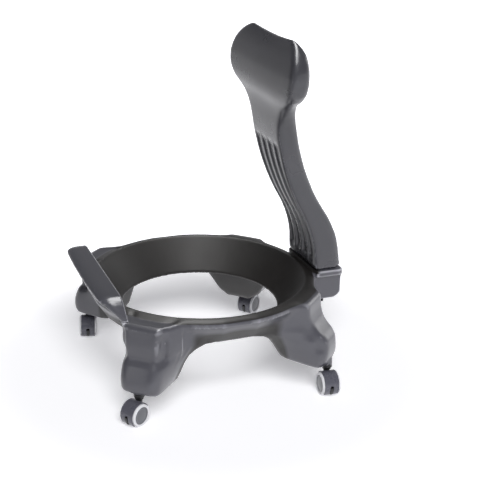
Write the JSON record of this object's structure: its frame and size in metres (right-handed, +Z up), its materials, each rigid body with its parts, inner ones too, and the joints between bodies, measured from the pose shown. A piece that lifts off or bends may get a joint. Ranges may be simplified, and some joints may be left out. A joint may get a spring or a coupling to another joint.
{
  "type": "balance ball chair frame",
  "caption": "Rolling chair frame for an exercise ball: moulded ring seat on flared legs, hold-in front bar, fluted backrest and twin-wheel casters.",
  "frame": {"origin": "on the floor, under the centre of the whole chair's length; the seat ring's centre is 23.5 mm in front of it", "axes": "+Z up, -Y towards the chair's front, +Y towards the backrest, X across; the chair's left side is +X"},
  "size_m": [0.5483, 0.623, 0.79],
  "materials": {
    "moulded_shell": "satin charcoal blow-moulded plastic, fine grain",
    "moulded_back": "satin charcoal moulded plastic, fine grain",
    "hood_plastic": "dark grey moulded nylon",
    "black_plastic": "black nylon",
    "hub_plastic": "mid grey moulded nylon",
    "tyre_grey": "light grey polyurethane tread",
    "plain_steel": "zinc-plated steel",
    "black_hardware": "black oxide steel",
    "brass_insert": "plain brass"
  },
  "bodies": {
    "base": {"base_frame": "moulded_shell", "front_bar": "moulded_shell", "bar_pegs": "plain_steel", "backrest": "moulded_back", "back_bolts": "black_hardware", "back_washers": "black_hardware", "back_inserts": "brass_insert", "front_left_socket": "black_plastic", "front_right_socket": "black_plastic", "rear_left_socket": "black_plastic", "rear_right_socket": "black_plastic"},
    "front_left_fork": {"front_left_stem": "plain_steel", "front_left_grip_ring": "plain_steel", "front_left_hood": "hood_plastic", "front_left_axle": "plain_steel"},
    "front_left_wheel_a": {"front_left_hub_a": "hub_plastic", "front_left_tyre_a": "tyre_grey"},
    "front_left_wheel_b": {"front_left_hub_b": "hub_plastic", "front_left_tyre_b": "tyre_grey"},
    "front_left_brake_lever": {"front_left_brake": "black_plastic"},
    "front_right_fork": {"front_right_stem": "plain_steel", "front_right_grip_ring": "plain_steel", "front_right_hood": "hood_plastic", "front_right_axle": "plain_steel"},
    "front_right_wheel_a": {"front_right_hub_a": "hub_plastic", "front_right_tyre_a": "tyre_grey"},
    "front_right_wheel_b": {"front_right_hub_b": "hub_plastic", "front_right_tyre_b": "tyre_grey"},
    "front_right_brake_lever": {"front_right_brake": "black_plastic"},
    "rear_left_fork": {"rear_left_stem": "plain_steel", "rear_left_grip_ring": "plain_steel", "rear_left_hood": "hood_plastic", "rear_left_axle": "plain_steel"},
    "rear_left_wheel_a": {"rear_left_hub_a": "hub_plastic", "rear_left_tyre_a": "tyre_grey"},
    "rear_left_wheel_b": {"rear_left_hub_b": "hub_plastic", "rear_left_tyre_b": "tyre_grey"},
    "rear_left_brake_lever": {"rear_left_brake": "black_plastic"},
    "rear_right_fork": {"rear_right_stem": "plain_steel", "rear_right_grip_ring": "plain_steel", "rear_right_hood": "hood_plastic", "rear_right_axle": "plain_steel"},
    "rear_right_wheel_a": {"rear_right_hub_a": "hub_plastic", "rear_right_tyre_a": "tyre_grey"},
    "rear_right_wheel_b": {"rear_right_hub_b": "hub_plastic", "rear_right_tyre_b": "tyre_grey"},
    "rear_right_brake_lever": {"rear_right_brake": "black_plastic"}
  },
  "joints": [
    {"name": "front_left_swivel", "type": "hinge", "parent": "base", "child": "front_left_fork", "pos_m": [0.2311, -0.241, 0.05], "axis": [0, 0, 1], "continuous": true},
    {"name": "front_left_roll_a", "type": "hinge", "parent": "front_left_fork", "child": "front_left_wheel_a", "pos_m": [0.23905, -0.25372, 0.0258], "axis": [0.848, 0.5299, 0], "continuous": true},
    {"name": "front_left_roll_b", "type": "hinge", "parent": "front_left_fork", "child": "front_left_wheel_b", "pos_m": [0.23905, -0.25372, 0.0258], "axis": [0.848, 0.5299, 0], "continuous": true},
    {"name": "front_left_brake_tip", "type": "hinge", "parent": "front_left_fork", "child": "front_left_brake_lever", "pos_m": [0.24726, -0.26687, 0.0258], "axis": [-0.848, -0.5299, 0], "range_deg": [0, 12]},
    {"name": "front_right_swivel", "type": "hinge", "parent": "base", "child": "front_right_fork", "pos_m": [-0.2311, -0.241, 0.05], "axis": [0, 0, 1], "continuous": true},
    {"name": "front_right_roll_a", "type": "hinge", "parent": "front_right_fork", "child": "front_right_wheel_a", "pos_m": [-0.21668, -0.24513, 0.0258], "axis": [0.2756, 0.9613, 0], "continuous": true},
    {"name": "front_right_roll_b", "type": "hinge", "parent": "front_right_fork", "child": "front_right_wheel_b", "pos_m": [-0.21668, -0.24513, 0.0258], "axis": [0.2756, 0.9613, 0], "continuous": true},
    {"name": "front_right_brake_tip", "type": "hinge", "parent": "front_right_fork", "child": "front_right_brake_lever", "pos_m": [-0.20178, -0.24941, 0.0258], "axis": [-0.2756, -0.9613, 0], "range_deg": [0, 12]},
    {"name": "rear_left_swivel", "type": "hinge", "parent": "base", "child": "rear_left_fork", "pos_m": [0.2311, 0.2048, 0.05], "axis": [0, 0, 1], "continuous": true},
    {"name": "rear_left_roll_a", "type": "hinge", "parent": "rear_left_fork", "child": "rear_left_wheel_a", "pos_m": [0.24604, 0.20349, 0.0258], "axis": [0.0872, 0.9962, 0], "continuous": true},
    {"name": "rear_left_roll_b", "type": "hinge", "parent": "rear_left_fork", "child": "rear_left_wheel_b", "pos_m": [0.24604, 0.20349, 0.0258], "axis": [0.0872, 0.9962, 0], "continuous": true},
    {"name": "rear_left_brake_tip", "type": "hinge", "parent": "rear_left_fork", "child": "rear_left_brake_lever", "pos_m": [0.26148, 0.20214, 0.0258], "axis": [-0.0872, -0.9962, 0], "range_deg": [0, 12]},
    {"name": "rear_right_swivel", "type": "hinge", "parent": "base", "child": "rear_right_fork", "pos_m": [-0.2311, 0.2048, 0.05], "axis": [0, 0, 1], "continuous": true},
    {"name": "rear_right_roll_a", "type": "hinge", "parent": "rear_right_fork", "child": "rear_right_wheel_a", "pos_m": [-0.22146, 0.19331, 0.0258], "axis": [0.766, 0.6428, 0], "continuous": true},
    {"name": "rear_right_roll_b", "type": "hinge", "parent": "rear_right_fork", "child": "rear_right_wheel_b", "pos_m": [-0.22146, 0.19331, 0.0258], "axis": [0.766, 0.6428, 0], "continuous": true},
    {"name": "rear_right_brake_tip", "type": "hinge", "parent": "rear_right_fork", "child": "rear_right_brake_lever", "pos_m": [-0.21149, 0.18144, 0.0258], "axis": [-0.766, -0.6428, 0], "range_deg": [0, 12]}
  ]
}
